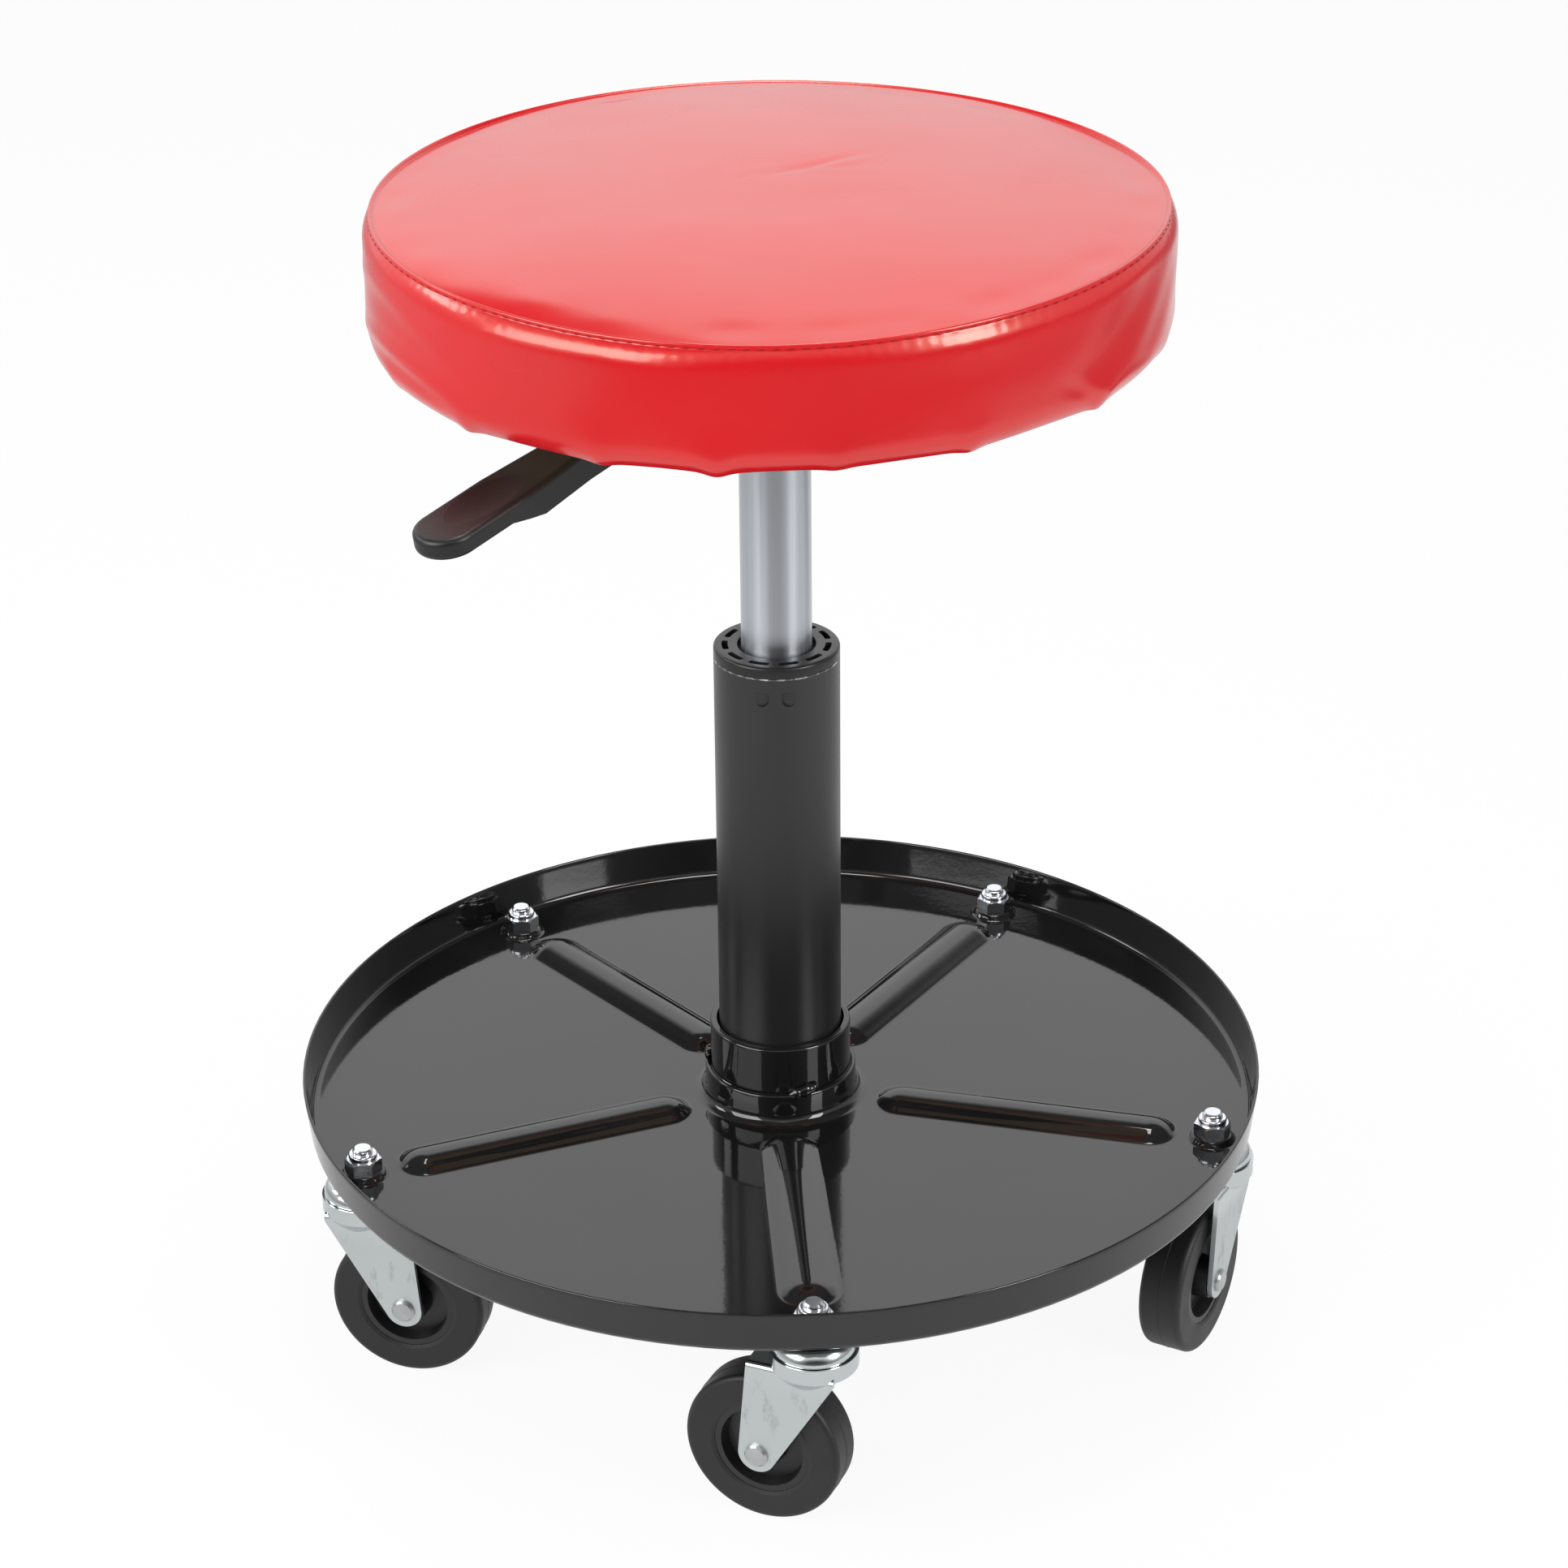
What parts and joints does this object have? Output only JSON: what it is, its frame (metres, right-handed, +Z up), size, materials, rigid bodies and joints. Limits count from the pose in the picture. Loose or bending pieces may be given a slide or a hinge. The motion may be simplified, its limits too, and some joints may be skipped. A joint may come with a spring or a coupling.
{
  "type": "pneumatic roller seat",
  "caption": "Low mechanic's roller seat: round padded vinyl seat on a gas lift with release lever, over a round steel tool tray on swivel casters.",
  "frame": {"origin": "on the floor under the column's axis, with all wheels on z = 0", "axes": "+Z up along the column, -Y towards the front caster, +X to the right seen from the front"},
  "size_m": [0.393, 0.3943, 0.477],
  "materials": {
    "tray_paint": "gloss",
    "tube_paint": "satin",
    "bush_plastic": "matte",
    "grip_plastic": "matte",
    "cylinder_steel": "satin",
    "plain_steel": "satin",
    "piston_metal": "satin",
    "valve_brass": "satin",
    "seal_rubber": "matte",
    "plate_paint": "satin",
    "board_wood": "matte",
    "foam": "matte",
    "seat_vinyl": "gloss",
    "bolt_zinc": "polished",
    "caster_zinc": "satin",
    "rivet_steel": "satin",
    "wheel_plastic": "satin",
    "tyre_rubber": "matte"
  },
  "bodies": {
    "base": {"tool_tray": "tray_paint", "hub_socket": "tray_paint", "column_tube": "tube_paint", "guide_bush": "bush_plastic", "lower_race": "plain_steel", "thrust_balls": "plain_steel", "race_caps": "caster_zinc", "caster_studs": "bolt_zinc", "stud_nuts": "bolt_zinc", "swivel_balls": "plain_steel"},
    "spindle": {"upper_race": "plain_steel", "piston_rod": "plain_steel", "piston": "piston_metal", "piston_seal": "seal_rubber", "bump_stop": "seal_rubber", "rod_clip": "plain_steel"},
    "seat": {"gas_cylinder": "cylinder_steel", "rod_guide": "piston_metal", "rod_seal": "seal_rubber", "valve_block": "valve_brass", "gas_socket": "plate_paint", "seat_plate": "plate_paint", "lever_ears": "plate_paint", "pivot_pin": "plain_steel", "seat_board": "board_wood", "seat_foam": "foam", "seat_cover": "seat_vinyl", "seat_bolts": "bolt_zinc", "bolt_washers": "bolt_zinc", "tee_nuts": "bolt_zinc"},
    "lever": {"lever_bar": "plain_steel", "lever_grip": "grip_plastic"},
    "valve": {"valve_pin": "plain_steel"},
    "caster_1": {"caster_fork_1": "caster_zinc", "axle_rivet_1": "rivet_steel", "axle_sleeve_1": "plain_steel"},
    "wheel_1": {"wheel_hub_1": "wheel_plastic", "tyre_1": "tyre_rubber"},
    "caster_2": {"caster_fork_2": "caster_zinc", "axle_rivet_2": "rivet_steel", "axle_sleeve_2": "plain_steel"},
    "wheel_2": {"wheel_hub_2": "wheel_plastic", "tyre_2": "tyre_rubber"},
    "caster_3": {"caster_fork_3": "caster_zinc", "axle_rivet_3": "rivet_steel", "axle_sleeve_3": "plain_steel"},
    "wheel_3": {"wheel_hub_3": "wheel_plastic", "tyre_3": "tyre_rubber"},
    "caster_4": {"caster_fork_4": "caster_zinc", "axle_rivet_4": "rivet_steel", "axle_sleeve_4": "plain_steel"},
    "wheel_4": {"wheel_hub_4": "wheel_plastic", "tyre_4": "tyre_rubber"},
    "caster_5": {"caster_fork_5": "caster_zinc", "axle_rivet_5": "rivet_steel", "axle_sleeve_5": "plain_steel"},
    "wheel_5": {"wheel_hub_5": "wheel_plastic", "tyre_5": "tyre_rubber"}
  },
  "joints": [
    {"name": "seat_swivel", "type": "hinge", "parent": "base", "child": "spindle", "pos_m": [0, 0, 0.06], "axis": [0, 0, 1], "continuous": true},
    {"name": "lift", "type": "slide", "parent": "spindle", "child": "seat", "axis": [0, 0, 1], "range_m": [-0.085, 0.035]},
    {"name": "lever_lift", "type": "hinge", "parent": "seat", "child": "lever", "pos_m": [-0.01909, -0.01909, 0.4132], "axis": [-0.7071, 0.7071, 0], "range_deg": [0, 7], "stiffness_Nm_per_rad": 4, "springref_deg": -11.46},
    {"name": "valve_press", "type": "slide", "parent": "seat", "child": "valve", "axis": [0, 0, 1], "range_m": [-0.0036, 0]},
    {"name": "caster_swivel_1", "type": "hinge", "parent": "base", "child": "caster_1", "pos_m": [0, -0.18, 0.075], "axis": [0, 0, 1], "continuous": true},
    {"name": "wheel_spin_1", "type": "hinge", "parent": "caster_1", "child": "wheel_1", "pos_m": [-0.01631, -0.17169, 0.03175], "axis": [-0.454, -0.891, 0], "continuous": true},
    {"name": "caster_swivel_2", "type": "hinge", "parent": "base", "child": "caster_2", "pos_m": [0.17119, -0.05562, 0.075], "axis": [0, 0, 1], "continuous": true},
    {"name": "wheel_spin_2", "type": "hinge", "parent": "caster_2", "child": "wheel_2", "pos_m": [0.16136, -0.07106, 0.03175], "axis": [0.8434, -0.5373, 0], "continuous": true},
    {"name": "caster_swivel_3", "type": "hinge", "parent": "base", "child": "caster_3", "pos_m": [0.1058, 0.14562, 0.075], "axis": [0, 0, 1], "continuous": true},
    {"name": "wheel_spin_3", "type": "hinge", "parent": "caster_3", "child": "wheel_3", "pos_m": [0.123, 0.15188, 0.03175], "axis": [-0.342, 0.9397, 0], "continuous": true},
    {"name": "caster_swivel_4", "type": "hinge", "parent": "base", "child": "caster_4", "pos_m": [-0.1058, 0.14562, 0.075], "axis": [0, 0, 1], "continuous": true},
    {"name": "wheel_spin_4", "type": "hinge", "parent": "caster_4", "child": "wheel_4", "pos_m": [-0.09531, 0.13063, 0.03175], "axis": [0.8192, 0.5736, 0], "continuous": true},
    {"name": "caster_swivel_5", "type": "hinge", "parent": "base", "child": "caster_5", "pos_m": [-0.17119, -0.05562, 0.075], "axis": [0, 0, 1], "continuous": true},
    {"name": "wheel_spin_5", "type": "hinge", "parent": "caster_5", "child": "wheel_5", "pos_m": [-0.15378, -0.06125, 0.03175], "axis": [0.3074, 0.9516, 0], "continuous": true}
  ],
  "couplings": [
    {"joint": "valve_press", "follows": "lever_lift", "m_per_rad": -0.027}
  ]
}
